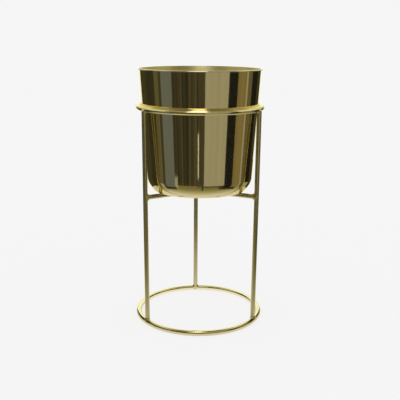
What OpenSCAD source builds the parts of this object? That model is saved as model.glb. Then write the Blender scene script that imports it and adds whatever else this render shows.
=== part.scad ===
// Plant stand: a deep metal pot that drops through a collar onto three spokes.
// The frame is round rod: a base ring, three legs, a collar and a Y of spokes.
// Origin on the floor at the middle of the base ring, +Z up, back leg towards +Y.

/* [Rod stock] */
// Diameter of the rod in the base ring and in the collar
ring_rod_d = 9.5; // [8:0.5:12]
// Diameter of the rod in the legs
leg_rod_d = 8; // [6:0.5:9]
// Diameter of the rod in the spokes
spoke_rod_d = 8; // [6:0.5:9]

/* [Stand] */
// Radius of the base ring, to the middle of its rod
base_ring_r = 110; // [100:1:125]
// Height of the middle of the collar's rod above the floor
collar_height = 379.6; // [340:0.2:400]
// Height of the middle of the spokes above the floor
spoke_height = 230; // [200:0.5:250]
// How far the legs stand inside the middle of the base ring's rod
leg_foot_inset = 1.7; // [0:0.1:3]
// How far the legs' tops lie outside the middle of the collar's rod
leg_top_outset = 3.1; // [0:0.1:4.5]
// How far the legs' tops end below the middle of the collar's rod
leg_top_drop = 2; // [0.5:0.1:3]

/* [Pot] */
// Height of the pot
pot_height = 210.4; // [180:0.2:240]
// Outer radius that the wall reaches at the rim, without the lip
pot_rim_r = 106; // [95:0.5:115]
// Slope of the wall from the vertical, in degrees
pot_taper = 3.65; // [2:0.05:5]
// Thickness of the sheet metal
pot_wall = 1; // [0.8:0.1:2]
// Radius of the tight bend round the flat bottom
pot_heel_r = 6; // [4:0.5:10]
// Radius of the wide bend that carries on from the tight one up to the wall
pot_shoulder_r = 34; // [20:1:45]
// How far the lip stands out past the wall
lip_out = 3.5; // [1.5:0.1:6]
// Thickness of the folded lip
lip_t = 2; // [1.5:0.1:3]

/* [Welds] */
// Hollow radius of the welds where the legs meet the rings
ring_weld_r = 2.5; // [1.5:0.1:4]
// Hollow radius of the welds where the spokes meet the legs
spoke_weld_r = 5.5; // [2.5:0.1:7]
// How far a weld wraps out past the side of its rod
weld_wrap = 0.8; // [0.5:0.1:1.5]
// How far a weld reaches past the hollowed end of its rod
weld_cover = 1; // [0.6:0.1:1.5]
// Radius of the round weld that joins the spokes in the middle
hub_weld_r = 10.5; // [8:0.5:14]
// Thickness of the round weld below the spokes
hub_weld_skin = 1.2; // [0.8:0.1:3]
// How far the round weld rises between the spokes, above their middle
hub_weld_rise = 2; // [1:0.5:3]

/* [Clearances] */
// Gap between the pot's wall and the collar, level with the collar's middle
collar_gap = 1.2; // [0.5:0.1:3]
// Gap between the pot's bottom and the spokes
seat_gap = 0.3; // [0.2:0.05:0.6]
// Gap between a rod's end and the rod that it is welded to
root_gap = 0.1; // [0.05:0.05:0.3]
// Gap between a weld and its rods
weld_gap = 0.05; // [0.02:0.01:0.1]
// How far a rod's hollowed end hugs the rod that it meets
cope_depth = 1.5; // [0.5:0.1:2]

/* [Hidden] */
$fn = 96;

// Directions of the three legs, and half the angle between two of them
back = 90;
front_left = 210;
front_right = 330;
half_share = 60;

ring_rod_r = ring_rod_d / 2;
leg_rod_r = leg_rod_d / 2;
spoke_rod_r = spoke_rod_d / 2;

// Pot: heights in its profile are measured from its own bottom. The tight bend at the
// heel turns up by heel_turn, and the wide bend of the shoulder carries on to the wall.
pot_z = spoke_height + spoke_rod_r + seat_gap;
heel_turn = 45;
shoulder_z = pot_heel_r * (1 - sin(heel_turn)) + pot_shoulder_r * sin(heel_turn);
wall_foot_z = shoulder_z - pot_shoulder_r * sin(pot_taper);
shoulder_c = [wall_r(wall_foot_z) - pot_shoulder_r * cos(pot_taper), shoulder_z];
heel_c = [
    shoulder_c[0] + (pot_shoulder_r - pot_heel_r) * cos(heel_turn),
    pot_heel_r
];
lip_edge_r = lip_t / 2;
lip_r = pot_rim_r + lip_out;

// Collar: sized from the pot's wall at its own height
collar_ring_r = wall_r(collar_height - pot_z) + collar_gap + ring_rod_r;

// Legs: straight, from the base ring to the collar
leg_foot_r = base_ring_r - leg_foot_inset;
leg_top_r = collar_ring_r + leg_top_outset;
leg_rise = collar_height - ring_rod_r;
leg_lean = atan2(leg_top_r - leg_foot_r, leg_rise);
leg_start = ring_rod_r - cope_depth;
leg_end = leg_rise - leg_top_drop;
spoke_leg_r = leg_foot_r + (spoke_height - ring_rod_r) * tan(leg_lean);

// Welds
foot_weld_root = cope_depth + weld_cover;
collar_weld_root = ring_rod_r - leg_top_drop + weld_cover;
spoke_weld_root = cope_depth + weld_cover;
hub_weld_low = spoke_rod_r + hub_weld_skin;

// Outer radius of the pot's wall at height z above its bottom
function wall_r(z) = pot_rim_r - (pot_height - z) * tan(pot_taper);

// Point at distance r from c in direction a
function polar(c, r, a) = c + r * [cos(a), sin(a)];

// Slice of a disc between two directions, for a round corner of the pot
module corner(c, r, a0, a1) {
    reach = 2 * r;
    intersection() {
        translate(c) circle(r);
        polygon([c, polar(c, reach, a0), polar(c, reach, (a0 + a1) / 2), polar(c, reach, a1)]);
    }
}

// Half of the pot's silhouette, drawn in by t on the side and the bottom
module pot_half(t, top) {
    polygon([
        [0, t],
        [heel_c[0], t],
        polar(heel_c, pot_heel_r - t, -heel_turn),
        polar(shoulder_c, pot_shoulder_r - t, -pot_taper),
        [wall_r(top) - t / cos(pot_taper), top],
        [0, top]
    ]);
    corner(heel_c, pot_heel_r - t, -90, -heel_turn);
    corner(shoulder_c, pot_shoulder_r - t, -heel_turn, -pot_taper);
}

// Round inner edge of the rim, as the corner that is cut off it
module rim_round() {
    c = [wall_r(pot_height - pot_wall), pot_height - pot_wall];
    foot = polar(c, pot_wall, 180 - pot_taper);
    clear = foot - [pot_wall, 0];
    above = pot_height + pot_wall;
    difference() {
        polygon([c, foot, clear, [clear[0], above], [c[0], above]]);
        translate(c) circle(pot_wall);
    }
}

// Folded lip that stands out from the top of the wall
module lip_section() {
    translate([pot_rim_r - pot_wall, pot_height - lip_t])
        square([lip_out + pot_wall - lip_edge_r, lip_t]);
    translate([lip_r - lip_edge_r, pot_height - lip_edge_r]) circle(lip_edge_r);
}

module planter_pot() {
    color([0.80, 0.68, 0.38])
    translate([0, 0, pot_z])
    rotate_extrude()
    difference() {
        union() {
            pot_half(0, pot_height);
            lip_section();
        }
        pot_half(pot_wall, pot_height + pot_wall);
        rim_round();
    }
}

// Ring of round rod about the stand's axis, made thicker by extra
module rod_ring(r, z, extra) {
    translate([0, 0, z])
    rotate_extrude()
    translate([r, 0])
    circle(ring_rod_r + extra);
}

module collar_ring() {
    color([0.86, 0.76, 0.46]) rod_ring(collar_ring_r, collar_height, 0);
}

module base_ring() {
    color([0.86, 0.76, 0.46]) rod_ring(base_ring_r, ring_rod_r, 0);
}

// Place of a leg in the plane of +X: its axis becomes +Z, from the base ring's middle
module leg_frame() {
    translate([leg_foot_r, 0, ring_rod_r]) rotate([0, leg_lean, 0]) children();
}

// Whole length of a leg's rod, made thicker by extra
module leg_rod(extra) {
    leg_frame() cylinder(h = leg_rise, r = leg_rod_r + extra);
}

// Whole length of a spoke's rod, made thicker by extra
module spoke_rod(extra) {
    translate([0, 0, spoke_height])
    rotate([0, 90, 0])
    cylinder(h = spoke_leg_r, r = spoke_rod_r + extra);
}

module leg(direction) {
    color([0.84, 0.73, 0.43])
    rotate([0, 0, direction])
    difference() {
        leg_frame() translate([0, 0, leg_start]) cylinder(h = leg_end - leg_start, r = leg_rod_r);
        rod_ring(base_ring_r, ring_rod_r, root_gap);
        rod_ring(collar_ring_r, collar_height, root_gap);
    }
}

module leg_back() { leg(back); }
module leg_front_left() { leg(front_left); }
module leg_front_right() { leg(front_right); }

// Spoke from the middle to its leg: mitred against the other two, hollowed at the leg
module spoke(direction) {
    start = root_gap / (2 * sin(half_share));
    end = spoke_leg_r - leg_rod_r + cope_depth;
    reach = 2 * spoke_rod_d;
    wide = reach * tan(half_share);
    color([0.84, 0.73, 0.43])
    rotate([0, 0, direction])
    difference() {
        intersection() {
            spoke_rod(0);
            translate([0, 0, spoke_height - spoke_rod_d])
                linear_extrude(2 * spoke_rod_d)
                polygon([
                    [start, 0], [start + reach, -wide], [end, -wide],
                    [end, wide], [start + reach, wide]
                ]);
        }
        leg_rod(root_gap);
    }
}

module spoke_back() { spoke(back); }
module spoke_front_left() { spoke(front_left); }
module spoke_front_right() { spoke(front_right); }

// Weld round the end of a rod, which runs along +Z from the surface that it meets
// at z = 0. The weld reaches root below that surface, with a hollow of radius hollow.
module rod_weld(rod_r, hollow, root) {
    wide = rod_r + hollow;
    deep = root + hollow;
    intersection() {
        rotate_extrude()
        difference() {
            translate([0, -root]) square([wide, deep]);
            translate([wide, hollow]) circle(hollow);
        }
        translate([-rod_r - weld_wrap, -wide, -root])
            cube([2 * (rod_r + weld_wrap), 2 * wide, deep]);
    }
}

module foot_weld(direction) {
    color([0.82, 0.71, 0.42])
    rotate([0, 0, direction])
    difference() {
        leg_frame() translate([0, 0, ring_rod_r]) rod_weld(leg_rod_r, ring_weld_r, foot_weld_root);
        leg_rod(weld_gap);
        rod_ring(base_ring_r, ring_rod_r, weld_gap);
    }
}

module foot_weld_back() { foot_weld(back); }
module foot_weld_front_left() { foot_weld(front_left); }
module foot_weld_front_right() { foot_weld(front_right); }

module collar_weld(direction) {
    color([0.82, 0.71, 0.42])
    rotate([0, 0, direction])
    difference() {
        leg_frame()
            translate([0, 0, leg_rise - ring_rod_r])
            rotate([180, 0, 0])
            rod_weld(leg_rod_r, ring_weld_r, collar_weld_root);
        leg_frame() cylinder(h = leg_end + weld_gap, r = leg_rod_r + weld_gap);
        rod_ring(collar_ring_r, collar_height, weld_gap);
    }
}

module collar_weld_back() { collar_weld(back); }
module collar_weld_front_left() { collar_weld(front_left); }
module collar_weld_front_right() { collar_weld(front_right); }

module spoke_weld(direction) {
    color([0.82, 0.71, 0.42])
    rotate([0, 0, direction])
    difference() {
        translate([spoke_leg_r - leg_rod_r, 0, spoke_height])
            rotate([0, -90, 0])
            rotate([0, 0, 90])
            rod_weld(spoke_rod_r, spoke_weld_r, spoke_weld_root);
        leg_rod(weld_gap);
        spoke_rod(weld_gap);
    }
}

module spoke_weld_back() { spoke_weld(back); }
module spoke_weld_front_left() { spoke_weld(front_left); }
module spoke_weld_front_right() { spoke_weld(front_right); }

// Weld that joins the spokes: a shallow dome under them that fills their corners
module hub_weld() {
    slope = hub_weld_low / 2;
    color([0.82, 0.71, 0.42])
    difference() {
        translate([0, 0, spoke_height])
        rotate_extrude()
        polygon([
            [0, -hub_weld_low],
            [hub_weld_r - slope, -hub_weld_low],
            [hub_weld_r, slope - hub_weld_low],
            [hub_weld_r, 0],
            [hub_weld_r - hub_weld_rise, hub_weld_rise],
            [0, hub_weld_rise]
        ]);
        for (direction = [back, front_left, front_right])
            rotate([0, 0, direction]) spoke_rod(weld_gap);
    }
}

planter_pot();
collar_ring();
base_ring();
leg_back();
leg_front_left();
leg_front_right();
spoke_back();
spoke_front_left();
spoke_front_right();
hub_weld();
collar_weld_back();
collar_weld_front_left();
collar_weld_front_right();
foot_weld_back();
foot_weld_front_left();
foot_weld_front_right();
spoke_weld_back();
spoke_weld_front_left();
spoke_weld_front_right();
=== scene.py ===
"""Plant stand: a polished metal pot in a rod frame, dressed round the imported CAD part."""

import math

import bpy
import numpy as np
from mathutils import Matrix, Vector

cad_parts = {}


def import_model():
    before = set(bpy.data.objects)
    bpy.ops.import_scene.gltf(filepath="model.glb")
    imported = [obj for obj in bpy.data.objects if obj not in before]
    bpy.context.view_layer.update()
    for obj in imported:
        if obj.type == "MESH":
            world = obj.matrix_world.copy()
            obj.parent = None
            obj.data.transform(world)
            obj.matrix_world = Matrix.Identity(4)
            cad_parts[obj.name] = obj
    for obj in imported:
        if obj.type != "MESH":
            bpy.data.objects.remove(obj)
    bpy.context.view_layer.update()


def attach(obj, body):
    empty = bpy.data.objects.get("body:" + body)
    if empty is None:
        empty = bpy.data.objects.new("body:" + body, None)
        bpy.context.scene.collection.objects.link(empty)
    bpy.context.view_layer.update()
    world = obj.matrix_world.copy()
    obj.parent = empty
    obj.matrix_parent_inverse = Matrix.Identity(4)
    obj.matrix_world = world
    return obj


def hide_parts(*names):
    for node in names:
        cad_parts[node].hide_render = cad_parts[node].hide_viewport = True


MM = 0.001
# How finely the skins are divided: round a ring, round a rod and along a rod
RING_STEPS = 288
ROD_STEPS = 40
ROD_ROWS = 24

# The stand, in mm: the same sizes as the CAD part
RING_ROD_R = 4.75
LEG_ROD_R = 4.0
BASE_RING_R = 110.0
COLLAR_RING_R = 107.797
COLLAR_Z = 379.6
SPOKE_Z = 230.0
LEG_FOOT_R = 108.3
LEG_LEAN = math.radians(0.397)
LEG_END_Z = 377.6
# The visible legs end this low, hidden in the collar's welds
LEG_SKIN_END_Z = LEG_END_Z - 1.5
LEG_DIRECTIONS = {"back": 90, "front_left": 210, "front_right": 330}

# The pot, in mm, with heights above its own bottom
POT_Z = 234.3
POT_HEIGHT = 210.4
POT_RIM_R = 106.0
POT_TAPER = math.radians(3.65)
POT_WALL = 1.0
HEEL_CENTRE = (79.95, 6.0)
HEEL_R = 6.0
HEEL_TURN = math.radians(45)
SHOULDER_CENTRE = (60.16, 25.80)
SHOULDER_R = 34.0
LIP_OUT = 3.5
LIP_T = 2.0
# Radius of the small cap in the middle of the bottom, and width of the crease under the lip
CAP_R = 0.05
CREASE_WIDTH = 0.01
# How finely each part of the pot's profile is divided. The rim's inner edge is a roll,
# whose first rows are still polished like the outside.
FLAT_ROWS = 6
WALL_ROWS = 24
OUTER_HEEL_ROWS = 10
OUTER_SHOULDER_ROWS = 28
INNER_HEEL_ROWS = 8
INNER_SHOULDER_ROWS = 20
LIP_ROWS = 13
ROLL_ROWS = 8
POLISHED_ROLL_ROWS = 5

# Welds, in mm: fillet radius, and how far a weld's skin lies under the rods' surfaces
FOOT_FILLET = 3.4
COLLAR_FILLET = 2.8
SPOKE_FILLET = 5.5
HUB_FILLET = 7.0
WELD_SINK = 0.05
# A weld's grid, how often its points are drawn to the true surface, and the slope's step
# and its least length
WELD_CELL = 0.45
WELD_DRAWS = 3
SLOPE_STEP = 0.02
SLOPE_LEAST = 1e-9
# Where the welds take the leg to begin, and how far before the leg they end the spoke
WELD_LEG_START_Z = 2 * RING_ROD_R - 1
SPOKE_INSET = SPOKE_FILLET + 0.5
# The welds' middles, by height or by how far inside the leg's axis they are, and how far
# each weld reaches from there: outwards, sideways and upwards
FOOT_MIDDLE_Z = 9.0
FOOT_REACH = (9.0, 12.0, 9.5)
COLLAR_MIDDLE_Z = 377.0
COLLAR_MIDDLE_INSET = 1.0
COLLAR_REACH = (9.0, 11.0, 9.0)
SPOKE_MIDDLE_INSET = 4.0
SPOKE_REACH = (14.0, 8.5, 14.0)
# The weld in the middle: how much of each spoke it takes in, its flat bead, how far out
# and how high it is cut off, and half the size of its box
HUB_SPOKE = 60.0
HUB_BEAD_R = 10.5
HUB_BEAD_HALF_T = 5.2
HUB_BEAD_FILLET = 1.5
HUB_CUT_R = 15.0
HUB_TOP_Z = SPOKE_Z + LEG_ROD_R + 0.1
HUB_BOX = (17.0, 17.0, 7.0)

# The camera, fitted to the photograph's outlines: metres, radians, and the lens in mm
CAMERA_AZIMUTH = -0.0603
CAMERA_DISTANCE = 1.1808
CAMERA_HEIGHT = 0.4931
CAMERA_PITCH = 0.2335
CAMERA_ROLL = 0.0073
CAMERA_YAW = 0.0011
CAMERA_LENS = 60.894
SENSOR_WIDTH = 36.0

# The studio: how bright the pale ground is, the cylinder that the cards stand on, the
# angle of one of their faces, how far one card stands off another, and the floor, in m
GROUND_LEVEL = 0.92
CARD_RADIUS = 0.5
CARD_STEP = math.radians(2.0)
CARD_GAP = 0.01
FLOOR_HALF = 30.0
# Share of the floor's paleness that no shadow dims
FLOOR_GLOW = 0.88
# The floor's brightness in the metal: oval rings in front of a middle behind the stand
FLOOR_MIDDLE = 0.12
FLOOR_SQUEEZE = 0.85
FLOOR_FRONT = [
    (0.20, (0.8, 0.8, 0.9)),
    (0.25, (0.7, 0.7, 0.8)),
    (0.30, (0.5, 0.5, 0.4)),
    (0.40, (0.3, 0.3, 0.2)),
    (0.50, (0.2, 0.2, 0.1)),
]
FLOOR_REAR = [
    (0.15, (1.0, 1.0, 1.2)),
    (0.35, (0.7, 0.7, 0.7)),
    (0.60, (0.9, 0.9, 1.0)),
]
# Share of the way to the back, from 0 beside the stand to 1 behind it, where the floor's
# front rings begin to give way to the rear ones, and where they have gone
REAR_START = 0.1
REAR_END = 0.9
# Nearer the axis than this, in m, no direction is worked out
AXIS_R = 0.01


# ---------------------------------------------------------------- mesh helpers


def make_object(name, verts, faces, normals=None, slots=(), face_slots=None):
    """A mesh object, with the given smooth normals, its materials and each face's slot."""
    mesh = bpy.data.meshes.new(name)
    mesh.from_pydata([tuple(v) for v in verts], [], [tuple(f) for f in faces])
    for material in slots:
        mesh.materials.append(material)
    if face_slots is not None:
        mesh.polygons.foreach_set("material_index", np.asarray(face_slots, np.int32))
    mesh.polygons.foreach_set("use_smooth", np.ones(len(mesh.polygons), bool))
    mesh.update()
    if normals is not None:
        mesh.normals_split_custom_set_from_vertices([tuple(n) for n in normals])
    obj = bpy.data.objects.new(name, mesh)
    bpy.context.scene.collection.objects.link(obj)
    return obj


def revolve(profile, normals, steps):
    """Verts, faces and normals of an open profile of (r, z) turned about Z.

    Faces come profile segment by profile segment, all round.
    """
    angles = np.arange(steps) * 2 * math.pi / steps
    cos, sin = np.cos(angles), np.sin(angles)
    verts = [np.stack([r * cos, r * sin, np.full(steps, z)], 1) for r, z in profile]
    turned = [np.stack([n * cos, n * sin, np.full(steps, m)], 1) for n, m in normals]
    return np.vstack(verts), tube_faces(len(profile), steps), np.vstack(turned)


def band_faces(low, high, steps):
    """Faces between two closed rows of verts, from the index of each row's first."""
    turns = [(i, (i + 1) % steps) for i in range(steps)]
    return [(low + i, low + j, high + j, high + i) for i, j in turns]


def tube_faces(rows, steps):
    """Faces of a tube of closed rows of verts, row by row."""
    return [
        face
        for row in range(rows - 1)
        for face in band_faces(row * steps, (row + 1) * steps, steps)
    ]


def end_caps(rows, steps):
    """The two faces that close a tube's first and last row."""
    last = (rows - 1) * steps
    return [tuple(reversed(range(steps))), tuple(range(last, last + steps))]


def turn_z(points, degrees):
    """Points turned about Z."""
    a = math.radians(degrees)
    turn = np.array([[math.cos(a), -math.sin(a), 0], [math.sin(a), math.cos(a), 0], [0, 0, 1]])
    return points @ turn.T


# ---------------------------------------------------------------- pot


def arc(centre, radius, start, end, steps):
    """Profile points and outward normals on an arc, both ends included."""
    points = []
    for a in np.linspace(start, end, steps):
        n = (math.cos(a), math.sin(a))
        points.append(((centre[0] + radius * n[0], centre[1] + radius * n[1]), n))
    return points


def line(start, end, normal, steps):
    """Profile points between two ends, without the ends, with one normal."""
    share = np.linspace(0, 1, steps + 2)[1:-1]
    return [
        ((start[0] + t * (end[0] - start[0]), start[1] + t * (end[1] - start[1])), normal)
        for t in share
    ]


def wall_r(z):
    """Outer radius of the pot's wall at height z above its bottom."""
    return POT_RIM_R - (POT_HEIGHT - z) * math.tan(POT_TAPER)


def pot_outside():
    """Profile from the middle of the bottom up the wall to the tip of the lip."""
    down, side = (0.0, -1.0), (math.cos(POT_TAPER), -math.sin(POT_TAPER))
    heel = arc(HEEL_CENTRE, HEEL_R, -math.pi / 2, -HEEL_TURN, OUTER_HEEL_ROWS)
    shoulder = arc(
        SHOULDER_CENTRE, SHOULDER_R, -HEEL_TURN, -POT_TAPER, OUTER_SHOULDER_ROWS
    )
    wall_foot = shoulder[-1][0]
    under_lip = POT_HEIGHT - LIP_T
    crease = (wall_r(under_lip), under_lip)
    edge = LIP_T / 2
    lip_centre = (POT_RIM_R + LIP_OUT - edge, POT_HEIGHT - edge)
    rows = [((CAP_R, 0.0), down)]
    rows += line((0, 0), (HEEL_CENTRE[0], 0), down, FLAT_ROWS)
    rows += heel + shoulder[1:]
    rows += line(wall_foot, crease, side, WALL_ROWS)
    rows += [(crease, side), ((crease[0] + CREASE_WIDTH, crease[1]), down)]
    rows += arc(lip_centre, edge, -math.pi / 2, math.pi / 2, LIP_ROWS)
    return rows


def pot_inside():
    """Profile from the lip's top down the inner wall to the middle of the inner floor."""
    inner_side = (-math.cos(POT_TAPER), math.sin(POT_TAPER))
    t = POT_WALL
    roll_centre = (wall_r(POT_HEIGHT - t), POT_HEIGHT - t)
    roll = arc(roll_centre, t, math.pi / 2, math.pi - POT_TAPER, ROLL_ROWS)
    shoulder = arc(
        SHOULDER_CENTRE, SHOULDER_R - t, -POT_TAPER, -HEEL_TURN, INNER_SHOULDER_ROWS
    )
    heel = arc(HEEL_CENTRE, HEEL_R - t, -HEEL_TURN, -math.pi / 2, INNER_HEEL_ROWS)
    bends = [(p, (-n[0], -n[1])) for p, n in shoulder + heel[1:]]
    up = (0.0, 1.0)
    rows = roll + line(roll[-1][0], shoulder[0][0], inner_side, WALL_ROWS) + bends
    rows += line((HEEL_CENTRE[0], t), (0, t), up, FLAT_ROWS)
    return rows + [((CAP_R, t), up)]


def build_pot(materials):
    """The pot as one closed skin: polished outside, satin inside."""
    outside, inside = pot_outside(), pot_inside()
    rows = outside + inside
    profile = [(p[0], p[1] + POT_Z) for p, _ in rows]
    verts, faces, normals = revolve(profile, [n for _, n in rows], RING_STEPS)
    satin_row = len(outside) + POLISHED_ROLL_ROWS
    slots = [int(i // RING_STEPS >= satin_row) for i in range(len(faces))]
    # the caps in the middle of the bottom and of the inner floor
    faces += end_caps(len(rows), RING_STEPS)
    slots += [0, 1]
    return make_object("pot_skin", verts * MM, faces, normals, materials, slots)


# ---------------------------------------------------------------- rods


def build_ring(name, ring_r, z, material):
    """A ring of round rod."""
    turn = np.arange(ROD_STEPS) * 2 * math.pi / ROD_STEPS
    normals = [(math.cos(a), math.sin(a)) for a in turn]
    profile = [(ring_r + RING_ROD_R * n, z + RING_ROD_R * m) for n, m in normals]
    verts, faces, turned = revolve(profile, normals, RING_STEPS)
    faces += band_faces((ROD_STEPS - 1) * RING_STEPS, 0, RING_STEPS)
    return make_object(name, verts * MM, faces, turned, [material])


def build_rod(name, start, end, direction, material):
    """A rod of the legs' size between two points of the plane of +X, turned about Z."""
    start, end = np.array(start), np.array(end)
    along = (end - start) / np.linalg.norm(end - start)
    side = np.array([0.0, 1.0, 0.0])
    across = np.cross(side, along)
    verts, normals = [], []
    for share in np.linspace(0, 1, ROD_ROWS):
        middle = start + share * (end - start)
        for a in np.arange(ROD_STEPS) * 2 * math.pi / ROD_STEPS:
            n = math.cos(a) * across + math.sin(a) * side
            verts.append(middle + LEG_ROD_R * n)
            normals.append(n)
    faces = tube_faces(ROD_ROWS, ROD_STEPS) + end_caps(ROD_ROWS, ROD_STEPS)
    verts = turn_z(np.array(verts), direction)
    normals = turn_z(np.array(normals), direction)
    return make_object(name, verts * MM, faces, normals, [material])


def leg_point(z):
    """Point of a leg's axis at height z, in the plane of +X."""
    return (LEG_FOOT_R + (z - RING_ROD_R) * math.tan(LEG_LEAN), 0.0, z)


# ---------------------------------------------------------------- welds


def ring_distance(p, ring_r, z):
    """Distance from points to the surface of a ring of rod."""
    return np.hypot(np.hypot(p[..., 0], p[..., 1]) - ring_r, p[..., 2] - z) - RING_ROD_R


def rod_distance(p, start, end, radius):
    """Distance from points to the surface of a round-ended rod."""
    start, end = np.array(start), np.array(end)
    along = end - start
    share = np.clip(((p - start) @ along) / (along @ along), 0, 1)
    return np.linalg.norm(p - start - share[..., None] * along, axis=-1) - radius


def fillet_union(a, b, radius):
    """Distance to two bodies joined by a hollow fillet of that radius."""
    corner = np.hypot(np.maximum(radius - a, 0), np.maximum(radius - b, 0))
    return np.maximum(radius, np.minimum(a, b)) - corner


def surface_net(field, low, shape, cell):
    """Verts, faces and normals of the zero surface of a distance function on a grid."""
    axes = [low[k] + cell * np.arange(shape[k]) for k in range(3)]
    values = field(np.stack(np.meshgrid(*axes, indexing="ij"), -1))
    cells = tuple(n - 1 for n in shape)
    total, count = np.zeros(cells + (3,)), np.zeros(cells)
    edges = []
    for axis in range(3):
        head = [slice(None)] * 3
        tail = [slice(None)] * 3
        head[axis], tail[axis] = slice(0, -1), slice(1, None)
        v0, v1 = values[tuple(head)], values[tuple(tail)]
        cut = np.argwhere((v0 < 0) != (v1 < 0))
        a, b = v0[tuple(cut.T)], v1[tuple(cut.T)]
        spot = cut.astype(float)
        spot[:, axis] += a / (a - b)
        others = [k for k in range(3) if k != axis]
        around = []
        for du, dv in ((-1, -1), (0, -1), (0, 0), (-1, 0)):
            c = cut.copy()
            c[:, others[0]] += du
            c[:, others[1]] += dv
            around.append(c)
            index = tuple(c.T)
            np.add.at(total, index, spot)
            np.add.at(count, index, 1)
        edges.append((around, a < 0, axis))
    used = np.argwhere(count > 0)
    number = np.full(cells, -1)
    number[tuple(used.T)] = np.arange(len(used))
    points = np.array(low) + cell * total[tuple(used.T)] / count[tuple(used.T)][:, None]
    faces = []
    for around, inside_first, axis in edges:
        quads = np.stack([number[tuple(c.T)] for c in around], 1)
        flip = inside_first if axis != 1 else ~inside_first
        quads[~flip] = quads[~flip][:, ::-1]
        faces += quads.tolist()
    for _ in range(WELD_DRAWS):
        normals = slope(field, points)
        points = points - normals * field(points)[:, None]
    return points, faces, slope(field, points)


def slope(field, points):
    """Unit gradient of a distance function."""
    parts = []
    for k in range(3):
        offset = np.zeros(3)
        offset[k] = SLOPE_STEP
        parts.append(field(points + offset) - field(points - offset))
    grown = np.stack(parts, 1)
    return grown / np.maximum(np.linalg.norm(grown, axis=1), SLOPE_LEAST)[:, None]


def weld_net(first, second, fillet, middle, half):
    """A weld that joins two bodies near a point, its skin just under theirs further out."""
    middle, half = np.array(middle), np.array(half)

    def field(p):
        joined = fillet_union(first(p) + WELD_SINK, second(p) + WELD_SINK, fillet)
        reach = np.linalg.norm((p - middle) / half, axis=-1)
        return np.maximum(joined, (reach - 1) * half.min())

    return net_round(field, middle, half)


def net_round(field, middle, half):
    """The surface of a distance function in the box of that half size round a middle."""
    shape = tuple(int(n) for n in np.ceil(2 * half / WELD_CELL) + 3)
    return surface_net(field, middle - half - WELD_CELL, shape, WELD_CELL)


def build_welds(material):
    """The nine welds at the legs, from three patterns, and the one in the middle."""
    top, spoke_end = leg_point(LEG_END_Z), leg_point(SPOKE_Z)
    spoke_stop = (spoke_end[0] - SPOKE_INSET, 0.0, SPOKE_Z)

    def leg(p):
        return rod_distance(p, leg_point(WELD_LEG_START_Z), leg_point(LEG_SKIN_END_Z), LEG_ROD_R)

    def spoke(p):
        return rod_distance(p, (0.0, 0.0, SPOKE_Z), spoke_stop, LEG_ROD_R)

    def base_ring(p):
        return ring_distance(p, BASE_RING_R, RING_ROD_R)

    def collar(p):
        return ring_distance(p, COLLAR_RING_R, COLLAR_Z)

    patterns = {
        "foot_weld": weld_net(
            leg, base_ring, FOOT_FILLET, (BASE_RING_R, 0.0, FOOT_MIDDLE_Z), FOOT_REACH
        ),
        "collar_weld": weld_net(
            leg, collar, COLLAR_FILLET,
            (top[0] - COLLAR_MIDDLE_INSET, 0.0, COLLAR_MIDDLE_Z), COLLAR_REACH,
        ),
        "spoke_weld": weld_net(
            leg, spoke, SPOKE_FILLET,
            (spoke_end[0] - SPOKE_MIDDLE_INSET, 0.0, SPOKE_Z), SPOKE_REACH,
        ),
    }
    pieces = {}
    for pattern, (verts, faces, normals) in patterns.items():
        for place, direction in LEG_DIRECTIONS.items():
            pieces[f"{pattern}_{place}"] = make_object(
                f"{pattern}_{place}_bead", turn_z(verts, direction) * MM, faces,
                turn_z(normals, direction), [material],
            )
    verts, faces, normals = hub_net()
    pieces["hub_weld"] = make_object("hub_weld_bead", verts * MM, faces, normals, [material])
    return pieces


def hub_net():
    """The weld in the middle, where the three spokes run into a flat bead."""
    ends = [turn_z(np.array([HUB_SPOKE, 0.0, 0.0]), d) for d in LEG_DIRECTIONS.values()]
    middle = np.array([0.0, 0.0, SPOKE_Z])
    bead_size = np.array([HUB_BEAD_R, HUB_BEAD_R, HUB_BEAD_HALF_T])

    def field(p):
        rods = [rod_distance(p, middle, middle + end, LEG_ROD_R) + WELD_SINK for end in ends]
        joined = fillet_union(fillet_union(rods[0], rods[1], HUB_FILLET), rods[2], HUB_FILLET)
        share = np.linalg.norm((p - middle) / bead_size, axis=-1)
        bead = share * HUB_BEAD_HALF_T - HUB_BEAD_HALF_T
        joined = fillet_union(joined, bead, HUB_BEAD_FILLET)
        reach = np.linalg.norm((p - middle)[..., :2], axis=-1) - HUB_CUT_R
        flat_top = p[..., 2] - HUB_TOP_Z
        return np.maximum(np.maximum(joined, reach), flat_top)

    return net_round(field, middle, np.array(HUB_BOX))


# ---------------------------------------------------------------- materials


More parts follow.
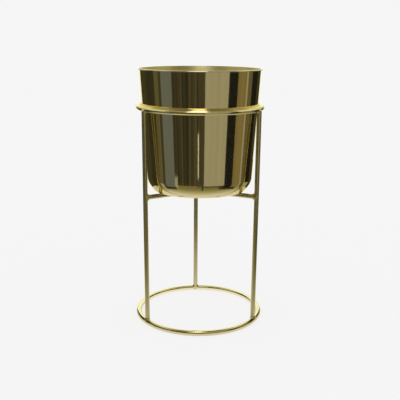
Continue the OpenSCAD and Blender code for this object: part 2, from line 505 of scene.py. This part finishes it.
class Nodes:
    """Short names for building a material's node tree."""

    def __init__(self, name):
        self.material = bpy.data.materials.new(name)
        self.material.use_nodes = True
        self.tree = self.material.node_tree
        self.tree.nodes.clear()
        self.output = self.add("ShaderNodeOutputMaterial")

    def add(self, kind, **values):
        """A node with its inputs set: numbers and colours as values, sockets as links."""
        node = self.tree.nodes.new(kind)
        for key, value in values.items():
            self.set(node, key, value)
        return node

    def set(self, node, key, value):
        """One setting: an attribute of the node, or else the input of that name."""
        if hasattr(node, key):
            setattr(node, key, value)
            return
        socket = node.inputs[int(key[2:])] if key.startswith("in") else node.inputs[key]
        if isinstance(value, bpy.types.NodeSocket):
            self.tree.links.new(value, socket)
        else:
            socket.default_value = value

    def math(self, operation, *inputs):
        """A math node's result."""
        node = self.add("ShaderNodeMath", operation=operation)
        for i, value in enumerate(inputs):
            self.set(node, f"in{i}", value)
        return node.outputs[0]

    def distance(self, x, y):
        """How far (x, y) is from the middle."""
        squares = self.math("POWER", x, 2), self.math("POWER", y, 2)
        return self.math("SQRT", self.math("ADD", *squares))

    def ramp(self, factor, stops, smooth=True):
        """A colour ramp's result, from (position, grey level or colour) stops."""
        node = self.add("ShaderNodeValToRGB")
        node.color_ramp.interpolation = "EASE" if smooth else "LINEAR"
        elements = node.color_ramp.elements
        while len(elements) > 1:
            elements.remove(elements[-1])
        for i, (position, level) in enumerate(stops):
            element = elements[0] if i == 0 else elements.new(position)
            element.position = position
            colour = (level,) * 3 if isinstance(level, (int, float)) else level
            element.color = tuple(colour) + (1.0,)
        self.set(node, "in0", factor)
        return node.outputs[0]

    def noise(self, vector, scale, detail, roughness):
        """Noise's value, from 0 to 1."""
        node = self.add("ShaderNodeTexNoise")
        self.set(node, "Vector", vector)
        self.set(node, "Scale", scale)
        self.set(node, "Detail", detail)
        self.set(node, "Roughness", roughness)
        return node.outputs[0]

    def stretched(self, vector, scale):
        """Coordinates stretched by a scale for each axis."""
        node = self.add("ShaderNodeMapping")
        self.set(node, "Vector", vector)
        self.set(node, "Scale", scale)
        return node.outputs[0]

    def bump(self, height, distance):
        """A bump node at full strength for heights of up to that distance in m."""
        node = self.add("ShaderNodeBump")
        node.inputs["Strength"].default_value = 1.0
        node.inputs["Distance"].default_value = distance
        self.set(node, "Height", height)
        return node

    def finish(self, shader):
        """The material, with its surface from that shader node."""
        self.tree.links.new(shader.outputs[0], self.output.inputs[0])
        return self.material

    def span(self, value, low, high, start=0.0, end=1.0):
        """A value from start to end brought into the range from low to high."""
        node = self.add("ShaderNodeMapRange")
        self.set(node, "Value", value)
        self.set(node, "From Min", start)
        self.set(node, "From Max", end)
        self.set(node, "To Min", low)
        self.set(node, "To Max", high)
        return node.outputs[0]


# The metal's specular tint, which colours its reflections where it is seen edge-on
EDGE_TINT = (0.92, 0.88, 0.66)
# Noise in the metal, to the metre: clouds of stain, smudges of roughness and a ripple
CLOUD_SCALE = 22.0
SMUDGE_SCALE = 90.0
RIPPLE_SCALE = 26.0
# How deep the polishing lines are, as a share of the ripple
SCRATCH_DEPTH = 0.04


def brass(name, tint, stain, roughness, grain, wave, lines):
    """Polished brass: its tint and darker stain, its range of roughness and the grain in it.

    wave is the ripple's depth in m, and lines says how often the fine polishing lines
    come along each axis, to the metre.
    """
    n = Nodes(name)
    place = n.add("ShaderNodeTexCoord").outputs["Object"]
    cloud = n.noise(place, CLOUD_SCALE, detail=4.0, roughness=0.6)
    smudge = n.noise(place, SMUDGE_SCALE, detail=3.0, roughness=0.6)
    fine = n.noise(n.stretched(place, lines), 1.0, detail=3.0, roughness=0.65)
    mixed = n.add("ShaderNodeMix", data_type="RGBA")
    n.set(mixed, "in0", n.span(cloud, 0.0, 1.0))
    mixed.inputs[6].default_value = (*stain, 1.0)
    mixed.inputs[7].default_value = (*tint, 1.0)
    rough = n.math("ADD", n.span(smudge, *roughness), n.span(fine, -grain, grain))
    ripple = n.bump(n.noise(place, RIPPLE_SCALE, detail=1.0, roughness=0.4), wave)
    scratch = n.bump(fine, wave * SCRATCH_DEPTH)
    n.set(scratch, "Normal", ripple.outputs[0])
    shader = n.add("ShaderNodeBsdfPrincipled")
    shader.inputs["Metallic"].default_value = 1.0
    shader.inputs["Specular Tint"].default_value = (*EDGE_TINT, 1.0)
    n.set(shader, "Base Color", mixed.outputs[2])
    n.set(shader, "Roughness", rough)
    n.set(shader, "Normal", scratch.outputs[0])
    return n.finish(shader)


def make_materials():
    """The finishes of the pot's two sides, the rods and the welds. The inside's and the rods'
    darker tints are painted shade.
    """
    return {
        "polished": brass(
            "pot_polished", tint=(0.86, 0.74, 0.39), stain=(0.82, 0.69, 0.34),
            roughness=(0.05, 0.10), grain=0.01, wave=0.00012, lines=(400.0, 400.0, 6.0),
        ),
        # The inside's tint is darker than the outside's: painted shade for the inside of the pot,
        # on top of its real satin roughness
        "satin": brass(
            "pot_satin_painted_shade", tint=(0.67, 0.59, 0.285), stain=(0.59, 0.51, 0.23),
            roughness=(0.30, 0.40), grain=0.05, wave=0.0002, lines=(30.0, 30.0, 900.0),
        ),
        "rings": brass(
            "ring_polished", tint=(0.87, 0.77, 0.42), stain=(0.82, 0.71, 0.35),
            roughness=(0.12, 0.19), grain=0.02, wave=0.00004, lines=(600.0, 600.0, 600.0),
        ),
        # The rods' tint and stain are darker than the rings': painted shade, for the shaded floor
        # near the stand that the legs mirror
        "rods": brass(
            "rod_polished", tint=(0.58, 0.51, 0.24), stain=(0.52, 0.45, 0.20),
            roughness=(0.24, 0.32), grain=0.02, wave=0.00004, lines=(900.0, 900.0, 20.0),
        ),
        "welds": brass(
            "weld_polished", tint=(0.68, 0.60, 0.28), stain=(0.60, 0.52, 0.22),
            roughness=(0.26, 0.36), grain=0.04, wave=0.0003, lines=(700.0, 700.0, 700.0),
        ),
    }


# ---------------------------------------------------------------- studio


# Cards round the stand, seen only in its mirror finish. Azimuths are degrees from the
# camera's side of the stand towards its right. Heights are in m. A tone is a colour.
TAR = (0.01, 0.01, 0.01)
SOOT = (0.03, 0.03, 0.02)
BARK = (0.05, 0.045, 0.03)
CLAY = (0.12, 0.11, 0.06)
OCHRE = (0.20, 0.16, 0.08)
STEEL = (0.13, 0.15, 0.18)
LINEN = (0.34, 0.33, 0.30)
WHITE = (1.1, 1.2, 1.4)
WALL_TOP = 0.42
# How often the streaks of the wall's cards come along each axis, to the metre
STREAK_SCALE = (30.0, 30.0, 0.8)
# The wall: from and to azimuth, tone, and how streaky it is
WALL_CARDS = [
    (-143, -115, BARK, 0.3),
    (-115, -90, SOOT, 0.3),
    (-90, -80, CLAY, 0.3),
    (-80, -74, BARK, 0.3),
    (-74, -52, STEEL, 0.1),
    (-52, -34, BARK, 0.8),
    (-34, -23, SOOT, 0.6),
    (-23, 5, BARK, 0.8),
    (5, 46, LINEN, 0.1),
    (46, 64, TAR, 0.1),
    (64, 84, OCHRE, 0.3),
    (84, 88, LINEN, 0.1),
    (88, 100, CLAY, 0.2),
    (100, 120, TAR, 0.2),
    (120, 140, BARK, 0.2),
]

# The ceiling: its height, its tone and the degrees between its corners
CEILING = 1.3
CEILING_TONE = (0.07, 0.07, 0.06)
CEILING_STEP = 5
# The softbox's far part, level under the ceiling: azimuths, inner and outer edge, tone
OVERHEAD = (-24, 14, 0.22, 0.48, (3.0, 3.0, 3.2))
# Cards above the wall: name, from and to azimuth, lower and upper edge, tone
UPPER_TOP = 0.80
SOFTBOX_FOOT_TOP = 0.47
SOFTBOX_TOP = 0.85
UPPER_CARDS = [
    ("upper_left", -140, -60, WALL_TOP, UPPER_TOP, (0.75, 0.75, 0.6)),
    ("upper_front_left", -60, -24, WALL_TOP, UPPER_TOP, (0.3, 0.3, 0.2)),
    ("softbox_foot", -24, 8, WALL_TOP, SOFTBOX_FOOT_TOP, (1.0, 1.0, 0.9)),
    ("softbox", -24, 8, SOFTBOX_FOOT_TOP, SOFTBOX_TOP, (1.6, 1.6, 1.7)),
    ("upper_front_right", 8, 60, WALL_TOP, UPPER_TOP, (0.3, 0.3, 0.2)),
    ("upper_right", 60, 140, WALL_TOP, UPPER_TOP, (0.75, 0.75, 0.6)),
    ("high_left", -140, -24, UPPER_TOP, CEILING, (0.25, 0.25, 0.2)),
    ("high_softbox", -24, 14, SOFTBOX_TOP, CEILING, (1.2, 1.2, 1.3)),
    ("high_right", 14, 140, UPPER_TOP, CEILING, (0.25, 0.25, 0.2)),
    ("back", 140, 217, 0.0, UPPER_TOP, WHITE),
]
# Cards just in front of the wall: the slit of light in the middle, the low skirt that
# lightens the pot's heel, and the ends of the white back, which fringe the pot's rim
FRONT_RADIUS = CARD_RADIUS - CARD_GAP
SKIRT_TOP = 0.11
FRINGE_FOOT = 0.20
FRONT_CARDS = [
    ("line", -6.5, -5, 0.135, 0.24, (0.8, 0.8, 0.8)),
    ("skirt_far_left", -90, -80, 0.0, SKIRT_TOP, LINEN),
    ("glint", -52, -46, 0.0, 0.14, LINEN),
    ("skirt_left", -46, -8, 0.0, SKIRT_TOP, OCHRE),
    ("skirt_middle", -8, 1.5, 0.0, SKIRT_TOP, CLAY),
    ("gap", 1.5, 4, 0.0, SKIRT_TOP, TAR),
    ("skirt_right", 4, 35, 0.0, SKIRT_TOP, CLAY),
    ("skirt_end", 35, 46, 0.0, SKIRT_TOP, BARK),
    ("skirt_far_right", 100, 120, 0.0, SKIRT_TOP, LINEN),
    ("fringe_left", -144, -140.5, FRINGE_FOOT, WALL_TOP, WHITE),
    ("fringe_right", 137.5, 141, FRINGE_FOOT, WALL_TOP, WHITE),
]
# Dark patches on the floor, as the metal shows it: azimuths, nearer and further edge, tone
FLOOR_CARD_Z = 0.0005
FLOOR_CARDS = [
    ("patch_left", -80, -52, 0.34, 0.41, CLAY),
    ("patch_far_left", -80, -52, 0.41, 0.60, TAR),
    ("patch_right", 37, 78, 0.37, 0.46, BARK),
    ("patch_far_right", 42, 78, 0.46, 0.60, TAR),
    ("patch_middle", 1.0, 4.6, 0.31, 0.50, BARK),
]


def lamp_surface(name, colour):
    """A surface that shines evenly in one colour, which may be brighter than white."""
    n = Nodes(name)
    shader = n.add("ShaderNodeEmission")
    shader.inputs["Color"].default_value = (*colour, 1.0)
    return n.finish(shader)


def wall_surface(name, tone, streaks):
    """A wall card's surface: one tone with upright streaks."""
    n = Nodes(name)
    place = n.add("ShaderNodeTexCoord").outputs["Object"]
    streak = n.noise(n.stretched(place, STREAK_SCALE), 1.0, detail=3.0, roughness=0.6)
    shader = n.add("ShaderNodeEmission")
    shader.inputs["Color"].default_value = (*tone, 1.0)
    n.set(shader, "Strength", n.span(streak, 1 - 2 * streaks, 1 + 2 * streaks))
    return n.finish(shader)


def mirror_only(obj):
    """Shows a card in reflections and nowhere else."""
    obj.visible_camera = False
    obj.visible_diffuse = False
    obj.visible_shadow = False
    obj.visible_transmission = False
    obj.visible_volume_scatter = False
    return obj


def card_point(azimuth, radius, z):
    """A place in the studio, from its azimuth in degrees."""
    a = math.radians(azimuth)
    return (radius * math.sin(a), -radius * math.cos(a), z)


def bent_card(name, start, end, inner, outer, material):
    """A card that follows the circle round the stand between two (radius, z) edges."""
    steps = max(2, int(abs(math.radians(end - start)) / CARD_STEP))
    verts, faces = [], []
    for azimuth in np.linspace(start, end, steps + 1):
        verts += [card_point(azimuth, *inner), card_point(azimuth, *outer)]
    for i in range(steps):
        faces.append((2 * i, 2 * i + 2, 2 * i + 3, 2 * i + 1))
    return mirror_only(make_object(name, verts, faces, slots=[material]))


def wall_card(name, start, end, low, high, material, radius=CARD_RADIUS):
    """An upright card bent round the stand."""
    return bent_card(name, start, end, (radius, low), (radius, high), material)


def disc_card(name, radius, z, colour):
    """A level round card round the stand's axis."""
    verts = [card_point(a, radius, z) for a in range(0, 360, CEILING_STEP)]
    surface = lamp_surface(name, colour)
    return mirror_only(make_object(name, verts, [range(len(verts))], slots=[surface]))


def floor_material():
    """A pale floor, whose mirror image dims away from the stand, most in front and aside."""
    n = Nodes("studio_floor")
    place = n.add("ShaderNodeTexCoord").outputs["Object"]
    parts = n.add("ShaderNodeSeparateXYZ")
    n.set(parts, "Vector", place)
    x, y = parts.outputs[0], parts.outputs[1]
    aside = n.math("MULTIPLY", x, FLOOR_SQUEEZE)
    ahead = n.math("SUBTRACT", y, FLOOR_MIDDLE)
    oval, radius = n.distance(aside, ahead), n.distance(x, y)
    front = n.ramp(oval, FLOOR_FRONT, smooth=False)
    rear = n.ramp(radius, FLOOR_REAR, smooth=False)
    toward_back = n.math("DIVIDE", y, n.math("MAXIMUM", radius, AXIS_R))
    way = n.span(toward_back, 0.0, 1.0, REAR_START, REAR_END)
    share = n.ramp(way, [(0.0, 0.0), (1.0, 1.0)])
    mixed = n.add("ShaderNodeMix", data_type="RGBA")
    n.set(mixed, "in0", share)
    n.set(mixed, "in6", front)
    n.set(mixed, "in7", rear)
    mirror = n.add("ShaderNodeEmission")
    n.set(mirror, "Color", mixed.outputs[2])
    matt = n.add("ShaderNodeBsdfDiffuse")
    matt.inputs["Color"].default_value = (GROUND_LEVEL,) * 3 + (1.0,)
    glow = n.add("ShaderNodeEmission")
    glow.inputs["Color"].default_value = (GROUND_LEVEL,) * 3 + (1.0,)
    soft = n.add("ShaderNodeMixShader")
    n.set(soft, "in0", FLOOR_GLOW)
    n.set(soft, "in1", matt.outputs[0])
    n.set(soft, "in2", glow.outputs[0])
    path = n.add("ShaderNodeLightPath")
    choice = n.add("ShaderNodeMixShader")
    n.set(choice, "in0", path.outputs["Is Glossy Ray"])
    n.set(choice, "in1", soft.outputs[0])
    n.set(choice, "in2", mirror.outputs[0])
    return n.finish(choice)


def build_floor():
    """The floor, far out to the horizon."""
    h = FLOOR_HALF
    floor = make_object(
        "studio_floor", [(-h, -h, 0), (h, -h, 0), (h, h, 0), (-h, h, 0)], [(0, 1, 2, 3)],
        slots=[floor_material()],
    )


def build_world():
    """Even white light all round, which the camera sees as the pale ground."""
    world = bpy.data.worlds.new("studio")
    bpy.context.scene.world = world
    world.use_nodes = True
    tree = world.node_tree
    tree.nodes.clear()
    path = tree.nodes.new("ShaderNodeLightPath")
    seen = tree.nodes.new("ShaderNodeMath")
    seen.operation = "MAXIMUM"
    tree.links.new(path.outputs["Is Camera Ray"], seen.inputs[0])
    either = tree.nodes.new("ShaderNodeMath")
    either.operation = "MAXIMUM"
    tree.links.new(path.outputs["Is Glossy Ray"], either.inputs[0])
    tree.links.new(path.outputs["Is Transmission Ray"], either.inputs[1])
    tree.links.new(either.outputs[0], seen.inputs[1])
    ground = tree.nodes.new("ShaderNodeBackground")
    ground.inputs["Color"].default_value = (GROUND_LEVEL,) * 3 + (1.0,)
    light = tree.nodes.new("ShaderNodeBackground")
    light.inputs["Color"].default_value = (1.0, 1.0, 1.0, 1.0)
    mix = tree.nodes.new("ShaderNodeMixShader")
    tree.links.new(seen.outputs[0], mix.inputs[0])
    tree.links.new(light.outputs[0], mix.inputs[1])
    tree.links.new(ground.outputs[0], mix.inputs[2])
    output = tree.nodes.new("ShaderNodeOutputWorld")
    tree.links.new(mix.outputs[0], output.inputs[0])


def build_cards():
    """The cards all round and overhead, and the softbox among them."""
    for i, (start, end, tone, streaks) in enumerate(WALL_CARDS):
        surface = wall_surface(f"card_{i:02d}", tone, streaks)
        wall_card(f"card_{i:02d}", start, end, 0.0, WALL_TOP, surface)
    for name, start, end, low, high, tone in UPPER_CARDS:
        wall_card(name, start, end, low, high, lamp_surface(name, tone))
    for name, start, end, near, far, tone in FLOOR_CARDS:
        edges = (near, FLOOR_CARD_Z), (far, FLOOR_CARD_Z)
        bent_card(name, start, end, *edges, lamp_surface(name, tone))
    for name, start, end, low, high, tone in FRONT_CARDS:
        wall_card(name, start, end, low, high, lamp_surface(name, tone), FRONT_RADIUS)
    disc_card("ceiling", CARD_RADIUS, CEILING, CEILING_TONE)
    start, end, inner, outer, tone = OVERHEAD
    height = CEILING - CARD_GAP
    surface = lamp_surface("overhead", tone)
    bent_card("overhead", start, end, (inner, height), (outer, height), surface)


# ---------------------------------------------------------------- camera


def build_camera():
    """The camera at the photograph's place."""
    a = CAMERA_AZIMUTH
    place = Vector((math.sin(a) * CAMERA_DISTANCE, -math.cos(a) * CAMERA_DISTANCE, CAMERA_HEIGHT))
    ahead = Vector((-math.sin(a), math.cos(a), 0))
    right = Vector((math.cos(a), math.sin(a), 0))
    yaw, pitch, roll = CAMERA_YAW, CAMERA_PITCH, CAMERA_ROLL
    turned = math.cos(yaw) * ahead + math.sin(yaw) * right
    right = math.cos(yaw) * right - math.sin(yaw) * ahead
    up = Vector((0, 0, 1))
    forward = math.cos(pitch) * turned - math.sin(pitch) * up
    up = math.cos(pitch) * up + math.sin(pitch) * turned
    side = math.cos(roll) * right + math.sin(roll) * up
    top = math.cos(roll) * up - math.sin(roll) * right
    data = bpy.data.cameras.new("camera")
    data.lens = CAMERA_LENS
    data.sensor_width = SENSOR_WIDTH
    data.sensor_fit = "HORIZONTAL"
    camera = bpy.data.objects.new("camera", data)
    bpy.context.scene.collection.objects.link(camera)
    rotation = Matrix((side, top, -forward)).transposed()
    camera.matrix_world = Matrix.Translation(place) @ rotation.to_4x4()
    bpy.context.scene.camera = camera


# ---------------------------------------------------------------- the whole


def dress():
    """Builds every piece and sets it on its body in place of its CAD node."""
    m = make_materials()
    pot = build_pot([m["polished"], m["satin"]])
    collar = build_ring("collar_ring_rod", COLLAR_RING_R, COLLAR_Z, m["rings"])
    base = build_ring("base_ring_rod", BASE_RING_R, RING_ROD_R, m["rings"])
    pieces = {
        "planter_pot": (pot, "pot"),
        "collar_ring": (collar, "rings"),
        "base_ring": (base, "rings"),
    }
    for place, direction in LEG_DIRECTIONS.items():
        leg = build_rod(
            f"leg_{place}_rod", leg_point(RING_ROD_R), leg_point(LEG_SKIN_END_Z),
            direction, m["rods"],
        )
        spoke = build_rod(
            f"spoke_{place}_rod", (0.0, 0.0, SPOKE_Z), leg_point(SPOKE_Z),
            direction, m["rods"],
        )
        pieces[f"leg_{place}"] = (leg, "rods")
        pieces[f"spoke_{place}"] = (spoke, "rods")
    for node, piece in build_welds(m["welds"]).items():
        pieces[node] = (piece, "welds")
    for node, (piece, slot) in pieces.items():
        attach(piece, "pot" if node == "planter_pot" else "stand")
        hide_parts(node)


def main():
    """Builds the scene."""
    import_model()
    dress()
    build_floor()
    build_world()
    build_cards()
    build_camera()
    bpy.context.scene.view_settings.view_transform = "Standard"


main()
